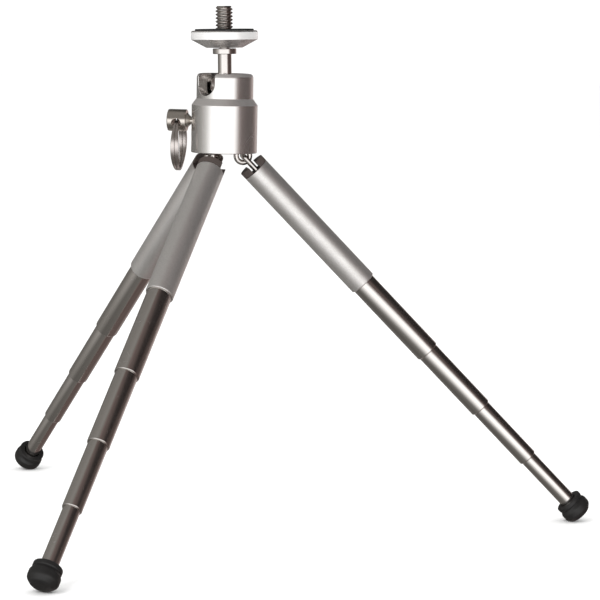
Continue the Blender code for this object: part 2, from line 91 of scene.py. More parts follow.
def mathNode(tree, operation, *values):
    node = tree.nodes.new("ShaderNodeMath")
    node.operation = operation
    for socket, value in zip(node.inputs, values):
        if isinstance(value, (int, float)):
            socket.default_value = value
        else:
            tree.links.new(value, socket)
    return node.outputs[0]


def noiseNode(tree, vector, scale, detail=2.0, roughness=0.5):
    node = tree.nodes.new("ShaderNodeTexNoise")
    node.inputs["Detail"].default_value = detail
    node.inputs["Roughness"].default_value = roughness
    tree.links.new(vector, node.inputs["Vector"])
    if isinstance(scale, (int, float)):
        node.inputs["Scale"].default_value = scale
    else:
        tree.links.new(scale, node.inputs["Scale"])
    return node.outputs["Fac"]


def bumpNode(tree, height, strength, distance):
    node = tree.nodes.new("ShaderNodeBump")
    node.inputs["Distance"].default_value = distance
    tree.links.new(height, node.inputs["Height"])
    if isinstance(strength, (int, float)):
        node.inputs["Strength"].default_value = strength
    else:
        tree.links.new(strength, node.inputs["Strength"])
    return node


def mixColour(tree, share, first, second):
    node = tree.nodes.new("ShaderNodeMix")
    node.data_type = "RGBA"
    for socket, value in ((node.inputs[0], share), (node.inputs[6], first), (node.inputs[7], second)):
        if isinstance(value, (int, float)):
            socket.default_value = value
        elif isinstance(value, tuple):
            socket.default_value = (*value, 1)
        else:
            tree.links.new(value, socket)
    return node.outputs[2]


# camera, lights and floor

camera = {
    "lens": 161.63, "sensor": 36.0, "distance": 0.9895,
    "azimuth": 7.08, "elevation": 6.27, "roll": 1.10,
    "target": (-0.00491, -0.00355, 0.08353),
}


def makeCamera(values):
    azimuth = radians(values["azimuth"])
    elevation = radians(values["elevation"])
    roll = radians(values["roll"])
    ahead = Vector((sin(azimuth) * cos(elevation), cos(azimuth) * cos(elevation), -sin(elevation)))
    level = Vector((cos(azimuth), -sin(azimuth), 0))
    above = level.cross(ahead)
    right = level * cos(roll) + above * sin(roll)
    up = above * cos(roll) - level * sin(roll)
    data = bpy.data.cameras.new("studio_camera")
    data.lens = values["lens"]
    data.sensor_width = values["sensor"]
    data.dof.use_dof = False
    holder = bpy.data.objects.new("studio_camera", data)
    bpy.context.scene.collection.objects.link(holder)
    place = Matrix((right, up, -ahead)).transposed().to_4x4()
    place.translation = Vector(values["target"]) - ahead * values["distance"]
    holder.matrix_world = place
    bpy.context.scene.camera = holder


studio = {
    "floorSize": 6.0, "floorCells": 8,
    "floorColour": (0.93, 0.93, 0.925), "floorRough": 0.9, "floorShine": 0.1,
    "fill": 1.12,  # how bright the room is on matt surfaces
    "keyPower": 16.0, "keySize": 0.9, "keyFrom": (-0.9, -1.3, 1.5),
    "rimPower": 5.0, "rimSize": 0.6, "rimFrom": (1.2, 0.8, 0.9),
    "aimAt": (0, 0, 0.08),
}

# what shiny surfaces see, by direction; azimuths run from the camera's side, to the right first
room = {
    "horizon": ((0.0, 1.25), (0.085, 1.25), (0.108, 0.8), (0.13, 0.24), (0.16, 0.11), (0.246, 0.07),
                (0.3, 0.08), (0.35, 0.18), (0.39, 0.45), (0.43, 0.45), (0.455, 0.12), (0.5, 0.1),
                (0.53, 0.14), (0.624, 0.14), (0.683, 0.2), (0.727, 0.28), (0.767, 0.42), (0.803, 0.6),
                (0.836, 0.95), (0.861, 1.25)),
    "ceiling": ((0.0, 0.17), (0.12, 0.1), (0.2, 0.02), (0.3, 0.012), (0.5, 0.06), (0.62, 0.18), (0.85, 0.22)),
    "ground": ((0.0, 0.16), (0.2, 0.1), (0.33, 0.12), (0.44, 0.11), (0.462, 0.65), (0.482, 0.6), (0.52, 0.18),
               (0.62, 0.12), (0.69, 0.1), (0.9, 0.14)),
    "lowEdge": (-0.8, -0.15), "highEdge": (0.04, 0.38),
    "rightTint": (1.0, 0.72, 0.66), "leftTint": (1.0, 0.95, 0.88), "light": 1.15,
}


def rampNode(tree, stops, rightTint, leftTint):
    ramp = tree.nodes.new("ShaderNodeValToRGB")
    ramp.color_ramp.interpolation = "EASE"
    elements = ramp.color_ramp.elements
    while len(elements) < len(stops):
        elements.new(0.5)
    for element, (position, level) in zip(elements, stops):
        share = min(level, 1.0)  # darker tones take more of the tint
        tint = rightTint if position < 0.5 else leftTint
        colour = [level * (share + (1 - share) * channel) for channel in tint]
        element.position = position
        element.color = (*colour, 1)
    return ramp


def makeWorld(values, fill):
    world = bpy.data.worlds.new("studio_room")
    bpy.context.scene.world = world
    world.use_nodes = True
    tree = world.node_tree
    tree.nodes.clear()
    link = tree.links.new
    where = tree.nodes.new("ShaderNodeTexCoord")
    split = tree.nodes.new("ShaderNodeSeparateXYZ")
    link(where.outputs["Generated"], split.inputs[0])
    towards = mathNode(tree, "MULTIPLY", split.outputs["Y"], -1.0)
    turn = mathNode(tree, "ARCTAN2", split.outputs["X"], towards)
    around = mathNode(tree, "FRACT", mathNode(tree, "MULTIPLY", turn, 1 / (2 * pi)))
    tones = {}
    for name in ("horizon", "ceiling", "ground"):
        stops = values[name] + ((1.0, values[name][0][1]),)
        ramp = rampNode(tree, stops, values["rightTint"], values["leftTint"])
        link(around, ramp.inputs[0])
        tones[name] = ramp.outputs[0]
    tone = tones["ground"]
    for name, (low, high) in (("horizon", values["lowEdge"]), ("ceiling", values["highEdge"])):
        blend = tree.nodes.new("ShaderNodeMapRange")
        blend.interpolation_type = "SMOOTHSTEP"
        blend.inputs["From Min"].default_value = low
        blend.inputs["From Max"].default_value = high
        link(split.outputs["Z"], blend.inputs["Value"])
        tone = mixColour(tree, blend.outputs[0], tone, tones[name])
    seen = tree.nodes.new("ShaderNodeBackground")
    seen.inputs["Strength"].default_value = values["light"]
    link(tone, seen.inputs["Color"])
    plain = tree.nodes.new("ShaderNodeBackground")
    plain.inputs["Color"].default_value = (1, 1, 1, 1)
    plain.inputs["Strength"].default_value = fill
    path = tree.nodes.new("ShaderNodeLightPath")
    pick = tree.nodes.new("ShaderNodeMixShader")
    link(path.outputs["Is Glossy Ray"], pick.inputs[0])
    link(plain.outputs[0], pick.inputs[1])
    link(seen.outputs[0], pick.inputs[2])
    out = tree.nodes.new("ShaderNodeOutputWorld")
    link(pick.outputs[0], out.inputs["Surface"])


def makeLight(name, power, size, where, target):
    data = bpy.data.lights.new(name, "AREA")
    data.energy = power
    data.size = size
    holder = bpy.data.objects.new(name, data)
    bpy.context.scene.collection.objects.link(holder)
    holder.location = where
    holder.rotation_euler = (Vector(target) - Vector(where)).to_track_quat("-Z", "Y").to_euler()
    return holder


def makeStudio(values):
    makeWorld(room, values["fill"])
    for name in ("key", "rim"):
        power, size, where = (values[name + part] for part in ("Power", "Size", "From"))
        lamp = makeLight(name + "_light", power, size, where, values["aimAt"])
        lamp.visible_glossy = False  # shiny surfaces see only the room
    shape = bmesh.new()
    cells = values["floorCells"]
    bmesh.ops.create_grid(shape, x_segments=cells, y_segments=cells, size=values["floorSize"])
    mesh = bpy.data.meshes.new("floor")
    shape.to_mesh(mesh)
    shape.free()
    floor = bpy.data.objects.new("floor", mesh)
    bpy.context.scene.collection.objects.link(floor)
    paper = bpy.data.materials.new("floor_paper")
    paper.use_nodes = True
    shader = paper.node_tree.nodes["Principled BSDF"]
    shader.inputs["Base Color"].default_value = (*values["floorColour"], 1)
    shader.inputs["Roughness"].default_value = values["floorRough"]
    shader.inputs["Specular IOR Level"].default_value = values["floorShine"]
    mesh.materials.append(paper)
    floor.visible_glossy = False  # polished parts see the room all round
    bpy.context.scene.view_settings.view_transform = "Standard"


makeCamera(camera)
makeStudio(studio)
print("camera, lights and floor ready")


# shader groups shared by the materials

def newGroup(name, inputs, outputs):
    tree = bpy.data.node_groups.new(name, "ShaderNodeTree")
    for label, kind, value in inputs:
        socket = tree.interface.new_socket(name=label, in_out="INPUT", socket_type="NodeSocket" + kind)
        if value is not None:
            socket.default_value = value
    for label, kind in outputs:
        tree.interface.new_socket(name=label, in_out="OUTPUT", socket_type="NodeSocket" + kind)
    return tree, tree.nodes.new("NodeGroupInput"), tree.nodes.new("NodeGroupOutput")


def latheGroup():  # fine rings left by the tool round a turned piece, along its height and out over its faces
    tree, given, out = newGroup("lathe_rings", [("Spacing", "Float", 0.0002), ("Depth", "Float", 0.3)],
                                [("Mask", "Float"), ("Normal", "Vector")])
    where = tree.nodes.new("ShaderNodeTexCoord")
    split = tree.nodes.new("ShaderNodeSeparateXYZ")
    tree.links.new(where.outputs["Object"], split.inputs[0])
    across = mathNode(tree, "POWER", split.outputs["X"], 2.0)
    along = mathNode(tree, "POWER", split.outputs["Y"], 2.0)
    radius = mathNode(tree, "SQRT", mathNode(tree, "ADD", across, along))
    rate = mathNode(tree, "DIVIDE", 1.0, given.outputs["Spacing"])
    join = tree.nodes.new("ShaderNodeCombineXYZ")
    tree.links.new(mathNode(tree, "MULTIPLY", split.outputs["Z"], rate), join.inputs[2])
    tree.links.new(mathNode(tree, "MULTIPLY", radius, rate), join.inputs[0])
    rings = noiseNode(tree, join.outputs[0], 1.0, detail=3.0, roughness=0.65)
    tree.links.new(rings, out.inputs["Mask"])
    bump = bumpNode(tree, rings, given.outputs["Depth"], distance=0.00002)
    tree.links.new(bump.outputs[0], out.inputs["Normal"])
    return tree


def handledGroup():  # slow smudges and a few short hairline scratches from use
    tree, given, out = newGroup("handled_surface",
                                [("Smudge Scale", "Float", 90.0), ("Scratch Scale", "Float", 400.0)],
                                [("Smudges", "Float"), ("Scratches", "Float")])
    where = tree.nodes.new("ShaderNodeTexCoord")
    scale = given.outputs["Smudge Scale"]
    smudges = noiseNode(tree, where.outputs["Object"], scale, detail=4.0, roughness=0.6)
    spread = tree.nodes.new("ShaderNodeMapRange")
    spread.inputs["From Min"].default_value = 0.35
    spread.inputs["From Max"].default_value = 0.7
    tree.links.new(smudges, spread.inputs["Value"])
    tree.links.new(spread.outputs[0], out.inputs["Smudges"])
    stretch = tree.nodes.new("ShaderNodeMapping")
    stretch.inputs["Scale"].default_value = (1.0, 0.12, 0.3)
    stretch.inputs["Rotation"].default_value = (0.6, 0.4, 0.9)
    tree.links.new(where.outputs["Object"], stretch.inputs["Vector"])
    lines = tree.nodes.new("ShaderNodeTexVoronoi")
    lines.feature = "DISTANCE_TO_EDGE"
    tree.links.new(stretch.outputs[0], lines.inputs["Vector"])
    tree.links.new(given.outputs["Scratch Scale"], lines.inputs["Scale"])
    thin = tree.nodes.new("ShaderNodeMapRange")
    thin.inputs["From Min"].default_value = 0.0
    thin.inputs["From Max"].default_value = 0.012
    thin.inputs["To Min"].default_value = 1.0
    thin.inputs["To Max"].default_value = 0.0
    tree.links.new(lines.outputs["Distance"], thin.inputs["Value"])
    patches = noiseNode(tree, where.outputs["Object"], 160.0, detail=1.0)
    rare = mathNode(tree, "GREATER_THAN", patches, 0.6)
    tree.links.new(mathNode(tree, "MULTIPLY", thin.outputs[0], rare), out.inputs["Scratches"])
    return tree


def flakeGroup():  # metal flakes under a lacquer, and the faint orange peel of its surface
    tree, given, out = newGroup("lacquer_flakes", [("Flake Scale", "Float", 5200.0), ("Peel", "Float", 0.15)],
                                [("Flakes", "Float"), ("Normal", "Vector")])
    where = tree.nodes.new("ShaderNodeTexCoord")
    cells = tree.nodes.new("ShaderNodeTexVoronoi")
    tree.links.new(where.outputs["Object"], cells.inputs["Vector"])
    tree.links.new(given.outputs["Flake Scale"], cells.inputs["Scale"])
    grey = tree.nodes.new("ShaderNodeSeparateColor")
    tree.links.new(cells.outputs["Color"], grey.inputs[0])
    tree.links.new(grey.outputs[0], out.inputs["Flakes"])
    peel = noiseNode(tree, where.outputs["Object"], 1500.0)
    standing = mathNode(tree, "MULTIPLY", grey.outputs[0], 0.5)
    height = mathNode(tree, "ADD", peel, standing)
    bump = bumpNode(tree, height, given.outputs["Peel"], distance=0.00004)
    tree.links.new(bump.outputs[0], out.inputs["Normal"])
    return tree


def mouldGroup():  # the soft grain that a mould leaves on rubber and plastic
    tree, given, out = newGroup("mould_grain", [("Grain Scale", "Float", 2600.0), ("Depth", "Float", 0.3)],
                                [("Grain", "Float"), ("Normal", "Vector")])
    where = tree.nodes.new("ShaderNodeTexCoord")
    fine = noiseNode(tree, where.outputs["Object"], given.outputs["Grain Scale"], detail=3.0, roughness=0.7)
    slow = noiseNode(tree, where.outputs["Object"], 220.0)
    fineShare = 0.7
    grain = mathNode(tree, "ADD", mathNode(tree, "MULTIPLY", fine, fineShare),
                     mathNode(tree, "MULTIPLY", slow, 1 - fineShare))
    tree.links.new(grain, out.inputs["Grain"])
    bump = bumpNode(tree, grain, given.outputs["Depth"], distance=0.00006)
    tree.links.new(bump.outputs[0], out.inputs["Normal"])
    return tree


def wearAndShadeGroup():  # bright worn edges where an edge stands out, and painted shade where a corner turns in
    tree, given, out = newGroup("edge_wear_and_crease_shade", [("Sharpness", "Float", 14.0)],
                                [("Worn", "Float"), ("Crease Shade", "Float")])
    shape = tree.nodes.new("ShaderNodeNewGeometry")
    away = mathNode(tree, "SUBTRACT", shape.outputs["Pointiness"], 0.5)
    outwards = mathNode(tree, "MULTIPLY", away, given.outputs["Sharpness"])
    # the inward mask paints shade into concave corners
    inwards = mathNode(tree, "MULTIPLY", outwards, -1.0)
    for label, value in (("Worn", outwards), ("Crease Shade", inwards)):
        limit = tree.nodes.new("ShaderNodeClamp")
        tree.links.new(value, limit.inputs["Value"])
        tree.links.new(limit.outputs[0], out.inputs[label])
    return tree


groups = {"lathe": latheGroup(), "handled": handledGroup(), "flakes": flakeGroup(),
          "mould": mouldGroup(), "edgeWearAndShade": wearAndShadeGroup()}


def newMaterial(name):
    material = bpy.data.materials.new(name)
    material.use_nodes = True
    return material, material.node_tree, material.node_tree.nodes["Principled BSDF"]


def addGroup(tree, kind, **values):
    node = tree.nodes.new("ShaderNodeGroup")
    node.node_tree = groups[kind]
    for label, value in values.items():
        node.inputs[label.replace("_", " ")].default_value = value
    return node


def roughnessFrom(tree, shader, base, *parts):  # base plus each mask times its amount
    total = base
    for mask, amount in parts:
        total = mathNode(tree, "ADD", mathNode(tree, "MULTIPLY", mask, amount), total)
    tree.links.new(total, shader.inputs["Roughness"])


metalLooks = {
    "satin_aluminium": {"colour": (0.84, 0.825, 0.81), "dark": (0.74, 0.72, 0.70), "rough": 0.13,
                        "spacing": 0.00016, "depth": 0.4, "anisotropy": 0.5, "metallic": 0.96},
    "shoulder_satin": {"colour": (0.76, 0.73, 0.715), "dark": (0.68, 0.65, 0.63), "rough": 0.38,
                       "spacing": 0.00016, "depth": 0.4, "anisotropy": 0.0, "metallic": 0.85},
    "plate_aluminium": {"colour": (0.88, 0.86, 0.85), "dark": (0.78, 0.76, 0.74), "rough": 0.22,
                        "spacing": 0.00014, "depth": 0.3, "anisotropy": 0.3, "metallic": 0.92},
    "plate_rim": {"colour": (0.95, 0.945, 0.94), "dark": (0.88, 0.87, 0.86), "rough": 0.3,
                  "spacing": 0.0001, "depth": 0.3, "anisotropy": 0.0, "metallic": 0.42},
    "polished_steel": {"colour": (0.74, 0.705, 0.68), "dark": (0.62, 0.58, 0.55), "rough": 0.07,
                       "spacing": 0.0003, "depth": 0.12, "anisotropy": 0.0},
    "knob_steel": {"colour": (0.74, 0.69, 0.64), "dark": (0.48, 0.44, 0.39), "rough": 0.12,
                   "spacing": 0.0003, "depth": 0.2, "anisotropy": 0.0},
    "ring_steel": {"colour": (0.68, 0.63, 0.605), "dark": (0.5, 0.45, 0.43), "rough": 0.2,
                   "spacing": 0.0003, "depth": 0.2, "anisotropy": 0.0},
    "nickel": {"colour": (0.80, 0.77, 0.74), "dark": (0.66, 0.62, 0.59), "rough": 0.1,
               "spacing": 0.0006, "depth": 0.1, "anisotropy": 0.0},
    "brass": {"colour": (0.72, 0.55, 0.28), "dark": (0.5, 0.35, 0.16), "rough": 0.3,
              "spacing": 0.0003, "depth": 0.3, "anisotropy": 0.0},
}


metalWearAndShade = {
    # the crease entries paint shade into concave corners; the ring, smudge and scratch entries are the
    # metal's own marks
    "ringTone": 0.35, "smudgeTone": 0.12, "creaseShadeTone": 0.6, "creaseShadeColour": (0.12, 0.1, 0.09),
    "ringRough": 0.08, "smudgeRough": 0.04, "scratchRough": 0.12,
}


def toned(tree, base, mask, amount, towards):
    return mixColour(tree, mathNode(tree, "MULTIPLY", mask, amount), base, towards)


def metalMaterial(name, values):
    material, tree, shader = newMaterial(name)
    rings = addGroup(tree, "lathe", Spacing=values["spacing"], Depth=values["depth"])
    handled = addGroup(tree, "handled")
    edgeWearAndShade = addGroup(tree, "edgeWearAndShade")
    shader.inputs["Metallic"].default_value = values.get("metallic", 1.0)
    shader.inputs["Anisotropic"].default_value = values["anisotropy"]
    tone = toned(tree, values["colour"], rings.outputs["Mask"], metalWearAndShade["ringTone"], values["dark"])
    tone = toned(tree, tone, handled.outputs["Smudges"], metalWearAndShade["smudgeTone"], values["dark"])
    # painted shade: concave corners darkened towards near-black
    tone = toned(tree, tone, edgeWearAndShade.outputs["Crease Shade"], metalWearAndShade["creaseShadeTone"], metalWearAndShade["creaseShadeColour"])
    tree.links.new(tone, shader.inputs["Base Color"])
    roughnessFrom(tree, shader, values["rough"], (rings.outputs["Mask"], metalWearAndShade["ringRough"]),
                  (handled.outputs["Smudges"], metalWearAndShade["smudgeRough"]),
                  (handled.outputs["Scratches"], metalWearAndShade["scratchRough"]))
    tree.links.new(rings.outputs["Normal"], shader.inputs["Normal"])
    if values["anisotropy"]:
        tangent = tree.nodes.new("ShaderNodeTangent")
        tangent.direction_type = "RADIAL"
        tangent.axis = "Z"
        tree.links.new(tangent.outputs[0], shader.inputs["Tangent"])
    return material


lacquerLook = {
    "colour": (0.93, 0.91, 0.89), "dark": (0.74, 0.72, 0.70), "rough": 0.36, "metallic": 0.93,
    "flakes": 5200.0, "peel": 0.2, "flakeTone": 0.6, "flakeRough": 0.1,
    "smudgeTone": 0.15, "smudgeRough": 0.06, "coat": 0.15, "coatRough": 0.2,
}


def lacquerMaterial(values):
    material, tree, shader = newMaterial("silver_lacquer")
    flakes = addGroup(tree, "flakes", Flake_Scale=values["flakes"], Peel=values["peel"])
    handled = addGroup(tree, "handled")
    shader.inputs["Metallic"].default_value = values["metallic"]
    tone = toned(tree, values["colour"], flakes.outputs["Flakes"], values["flakeTone"], values["dark"])
    tone = toned(tree, tone, handled.outputs["Smudges"], values["smudgeTone"], values["dark"])
    tree.links.new(tone, shader.inputs["Base Color"])
    roughnessFrom(tree, shader, values["rough"], (flakes.outputs["Flakes"], values["flakeRough"]),
                  (handled.outputs["Smudges"], values["smudgeRough"]))
    tree.links.new(flakes.outputs["Normal"], shader.inputs["Normal"])
    shader.inputs["Coat Weight"].default_value = values["coat"]
    shader.inputs["Coat Roughness"].default_value = values["coatRough"]
    return material


softLooks = {
    "dark_plastic": {"colour": (0.045, 0.032, 0.028), "pale": (0.10, 0.08, 0.072), "rough": 0.42,
                     "grain": 2200.0, "depth": 0.25},
    "black_rubber": {"colour": (0.008, 0.008, 0.008), "pale": (0.03, 0.03, 0.03), "rough": 0.6,
                     "grain": 2600.0, "depth": 0.4},
    "foot_rubber": {"colour": (0.005, 0.005, 0.005), "pale": (0.03, 0.028, 0.027), "rough": 0.38,
                    "grain": 1900.0, "depth": 0.3},
}


softWear = {"grainTone": 0.5, "wornTone": 0.4, "grainRough": 0.12, "smudgeRough": 0.1}


def softMaterial(name, values):
    material, tree, shader = newMaterial(name)
    grain = addGroup(tree, "mould", Grain_Scale=values["grain"], Depth=values["depth"])
    handled = addGroup(tree, "handled")
    edgeWearAndShade = addGroup(tree, "edgeWearAndShade")
    tone = toned(tree, values["colour"], grain.outputs["Grain"], softWear["grainTone"], values["pale"])
    tone = toned(tree, tone, edgeWearAndShade.outputs["Worn"], softWear["wornTone"], values["pale"])
    tree.links.new(tone, shader.inputs["Base Color"])
    roughnessFrom(tree, shader, values["rough"], (grain.outputs["Grain"], softWear["grainRough"]),
                  (handled.outputs["Smudges"], softWear["smudgeRough"]))
    tree.links.new(grain.outputs["Normal"], shader.inputs["Normal"])
    return material


materials = {name: metalMaterial(name, values) for name, values in metalLooks.items()}
materials.update({name: softMaterial(name, values) for name, values in softLooks.items()})
materials["silver_lacquer"] = lacquerMaterial(lacquerLook)
print("materials ready,", len(materials))


# mesh tools, in millimetres

def eased(points, closed=False, steps=4):  # a third number on a point rounds that corner by that radius
    outline = []
    for index, point in enumerate(points):
        atEnd = not closed and index in (0, len(points) - 1)
        if len(point) < 3 or atEnd:
            outline.append(tuple(point[:2]))
            continue
        corner = Vector(point[:2])
        before = Vector(points[index - 1][:2]) - corner
        after = Vector(points[(index + 1) % len(points)][:2]) - corner
        reach = point[2] * tan((pi - before.angle(after)) / 2)
        reach = min(reach, 0.48 * before.length, 0.48 * after.length)
        start = corner + before.normalized() * reach
        end = corner + after.normalized() * reach
        for step in range(steps + 1):
            share = step / steps
            spot = start * (1 - share) ** 2 + corner * 2 * share * (1 - share) + end * share ** 2
            outline.append((spot.x, spot.y))
    return outline


def arc(centre, radius, start, end, steps):
    angles = [radians(start + (end - start) * step / steps) for step in range(steps + 1)]
    return [(centre[0] + radius * cos(angle), centre[1] + radius * sin(angle)) for angle in angles]


def meshFrom(name, shape, sharp=32):
    bmesh.ops.recalc_face_normals(shape, faces=shape.faces)
    mesh = bpy.data.meshes.new(name)
    shape.to_mesh(mesh)
    shape.free()
    mesh.shade_smooth()
    mesh.set_sharp_from_angle(angle=radians(sharp))
    return mesh


def turned(name, outline, around=96, closed=False):
    shape = bmesh.new()
    verts = [shape.verts.new((max(r, 0) * mm, 0, z * mm)) for r, z in outline]
    edges = [shape.edges.new(pair) for pair in zip(verts, verts[1:])]
    if closed:
        edges.append(shape.edges.new((verts[-1], verts[0])))
    bmesh.ops.spin(shape, geom=verts + edges, cent=(0, 0, 0), axis=(0, 0, 1), angle=2 * pi, steps=around)
    bmesh.ops.remove_doubles(shape, verts=shape.verts, dist=0.0005 * mm)
    return meshFrom(name, shape)


def ringsMesh(name, rings, sharp=32):  # skins a row of loops and caps the two ends
    shape = bmesh.new()
    loops = [[shape.verts.new(Vector(point) * mm) for point in ring] for ring in rings]
    for one, two in zip(loops, loops[1:]):
        for index in range(len(one)):
            after = (index + 1) % len(one)
            shape.faces.new((one[index], one[after], two[after], two[index]))
    shape.faces.new(loops[0])
    shape.faces.new(loops[-1])
    return meshFrom(name, shape, sharp)


def swept(name, path, section, binormal, endRound, endShare=0.6):  # both ends have a small rounded tip
    points = [Vector(point) for point in path]
    last = len(points) - 1
    flat = Vector(binormal).normalized()
    rings = []
    for index, point in enumerate(points):
        tangent = (points[min(index + 1, last)] - points[max(index - 1, 0)]).normalized()
        side = flat.cross(tangent).normalized()
        lift = tangent.cross(side)
        rings.append([point + side * u + lift * v for u, v in section])
        if index in (0, last):
            out = -tangent if index == 0 else tangent
            tip = [point + out * endRound + (corner - point) * endShare for corner in rings[-1]]
            rings.insert(0 if index == 0 else len(rings), tip)
    return ringsMesh(name, rings)


def circle(radius, count):
    turns = [2 * pi * step / count for step in range(count)]
    return [(radius * cos(turn), radius * sin(turn)) for turn in turns]


def grown(loop, distance):  # a loop of points moved outwards
    area = sum(a[0] * b[1] - b[0] * a[1] for a, b in zip(loop, loop[1:] + loop[:1]))
    turn = 1 if area > 0 else -1
    result = []
    for index, point in enumerate(loop):
        before = (Vector(point) - Vector(loop[index - 1])).normalized()
        after = (Vector(loop[(index + 1) % len(loop)]) - Vector(point)).normalized()
        normal = (Vector((before.y, -before.x)) + Vector((after.y, -after.x))).normalized() * turn
        result.append((point[0] + normal.x * distance, point[1] + normal.y * distance))
    return result


cutters = {
    "past": 2.0,  # how far a cutter stands out of its wall
    "leastSquare": 0.04,  # keeps a loop as wide as the wall from closing at its sides
}


# a cutter along X whose mouth opens where it meets a round wall
def flaredTool(name, loop, radius, flare, through):
    def ring(outline, sign, push):
        points = []
        for y, z in outline:
            square = max(radius ** 2 - min(abs(y), radius) ** 2, cutters["leastSquare"])
            points.append((sign * (sqrt(square) + push), y, z))
        return points
    wide = grown(loop, 2 * flare)
    outside = radius + cutters["past"] + flare
    rings = [ring(wide, -1, flare), ring(loop, -1, -flare)] if through else [[(0, y, z) for y, z in loop]]
    rings += [ring(loop, 1, -flare), ring(wide, 1, flare), [(outside, y, z) for y, z in wide]]
    if through:
        rings.insert(0, [(-outside, y, z) for y, z in wide])
    return ringsMesh(name, rings)


def standIn(name, mesh, place):
    tool = bpy.data.objects.new(name, mesh)
    bpy.context.scene.collection.objects.link(tool)
    tool.matrix_world = place
    return tool


def shaped(mesh, changes, sharp=32):  # Boolean work on a mesh; each change is (operation, mesh, place)
    target = standIn(mesh.name + "_blank", mesh, Matrix.Identity(4))
    tools = []
    for operation, toolMesh, place in changes:
        tool = standIn(toolMesh.name + "_tool", toolMesh, place)
        change = target.modifiers.new(tool.name, "BOOLEAN")
        change.operation = operation
        change.solver = "EXACT"
        change.object = tool
        tools.append(tool)
    bpy.context.view_layer.update()
    graph = bpy.context.evaluated_depsgraph_get()
    result = bpy.data.meshes.new_from_object(target.evaluated_get(graph))
    result.name = mesh.name
    for used in [target] + tools:
        bpy.data.objects.remove(used, do_unlink=True)
    result.materials.clear()
    result.shade_smooth()
    result.set_sharp_from_angle(angle=radians(sharp))
    return result


def finished(mesh, look):  # a look of its own for a piece whose finish is shared
    mesh.materials.append(materials[look])
    return mesh


def show(node, mesh, place, body, finish):
    piece = bpy.data.objects.new(node + "_detail", mesh)
    bpy.context.scene.collection.objects.link(piece)
    piece.matrix_world = place
    if not mesh.materials:
        mesh.materials.append(materials[finish])
    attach(piece, body)
    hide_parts(node)


# housing

housing = {
    "shoulderBase": 17.4, "shoulderTop": 19.7, "upperRadius": 10.3, "around": 144,
    "topRound": 1.6, "baseRound": 0.5, "stepRound": 0.35, "satinSlope": 0.25,
    "skirtWall": 1.3, "skirtDepth": 2.6, "skirtRound": 0.35, "skirtEdge": 0.2,
    "socketRadius": 5.9, "socketFoot": 20.0, "socketSteps": 10, "boreRadius": 6.6, "boreRound": 0.15,
    "mouthRadius": 5.75, "mouthRound": 0.25, "lipRadius": 4.9, "ballDrop": 5.2,
    "plugSeat": 6.9, "plugBore": 9.03,
    "notchWidth": 8.4, "notchDepth": 8.05, "notchTurn": -141.0, "notchFlare": 0.14, "notchSteps": 24,
    "notchAbove": 1.5,
    "clampHeight": 11.4, "clampBore": 1.6, "clampFlare": 0.2, "clampSides": 32,
}


def notchLoop(values, top):  # a round-bottomed slot with its two upper corners opened
    half = values["notchWidth"] / 2
    floor = top - values["notchDepth"]
    lip = 2 * values["notchFlare"]
    above = top + values["notchAbove"]
    loop = [(half + 2 * lip, above), (half + 2 * lip, top + lip), (half, top - lip)]
    loop += arc((0, floor + half), half, 0, -180, values["notchSteps"])
    return loop + [(-half, top - lip), (-half - 2 * lip, top + lip), (-half - 2 * lip, above)]


def housingMesh(values):  # its shoulder and the edge of its top are duller than its walls
    bottom, top, radius = measure("housing", headPlace)
    skirt = radius - values["skirtWall"]
    socket = values["socketRadius"]
    lipAngle = degrees(asin(sqrt(socket ** 2 - values["lipRadius"] ** 2) / socket))
    outline = [(skirt, bottom, values["skirtEdge"]), (radius, bottom, values["skirtRound"])]
    outline += [(radius, values["shoulderBase"], values["baseRound"])]
    outline += [(values["upperRadius"], values["shoulderTop"], values["stepRound"])]
    outline += [(values["upperRadius"], top, values["topRound"])]
    outline += [(values["mouthRadius"], top, values["mouthRound"])]
    centre = (0, top - values["ballDrop"])
    outline += arc(centre, socket, lipAngle, values["socketFoot"], values["socketSteps"])
    outline += [(values["boreRadius"], outline[-1][1], values["boreRound"])]
    outline += [(values["boreRadius"], values["plugSeat"]), (values["plugBore"], values["plugSeat"])]
    outline += [(values["plugBore"], values["skirtDepth"], values["skirtEdge"])]
    outline += [(skirt, values["skirtDepth"])]
    body = turned("housing", eased(outline, closed=True, steps=6), values["around"], closed=True)
    notch = flaredTool("notch", notchLoop(values, top), values["upperRadius"], values["notchFlare"], False)
    bore = [(y, values["clampHeight"] + z) for y, z in circle(values["clampBore"], values["clampSides"])]
    drill = flaredTool("clamp_bore", bore, radius, values["clampFlare"], False)
    clampAxis = joints["clamp_turn"]["axis"]
    outwards = Matrix.Rotation(atan2(clampAxis[1], clampAxis[0]), 4, "Z")
    mesh = shaped(body, [("DIFFERENCE", notch, Matrix.Rotation(radians(values["notchTurn"]), 4, "Z")),
                         ("DIFFERENCE", drill, outwards)])
    mesh.materials.append(materials["satin_aluminium"])
    mesh.materials.append(materials["shoulder_satin"])
    for face in mesh.polygons:
        outside = hypot(face.center.x, face.center.y) > (values["upperRadius"] - values["topRound"]) * mm
        if outside and face.normal.z > values["satinSlope"]:
            face.material_index = 1
    return mesh


show("housing", housingMesh(housing), headPlace, "head", "satin_aluminium")


# base plug with the three bores that hold the leg eyes

basePlug = {
    "edge": 0.25, "boreRadius": 1.4, "boreFlare": 0.25, "boreSides": 48, "past": 1.0,
    "dish": 0.25, "dishRadius": 2.2, "dishEdge": 2.8, "dishRound": 0.3, "around": 128,
}


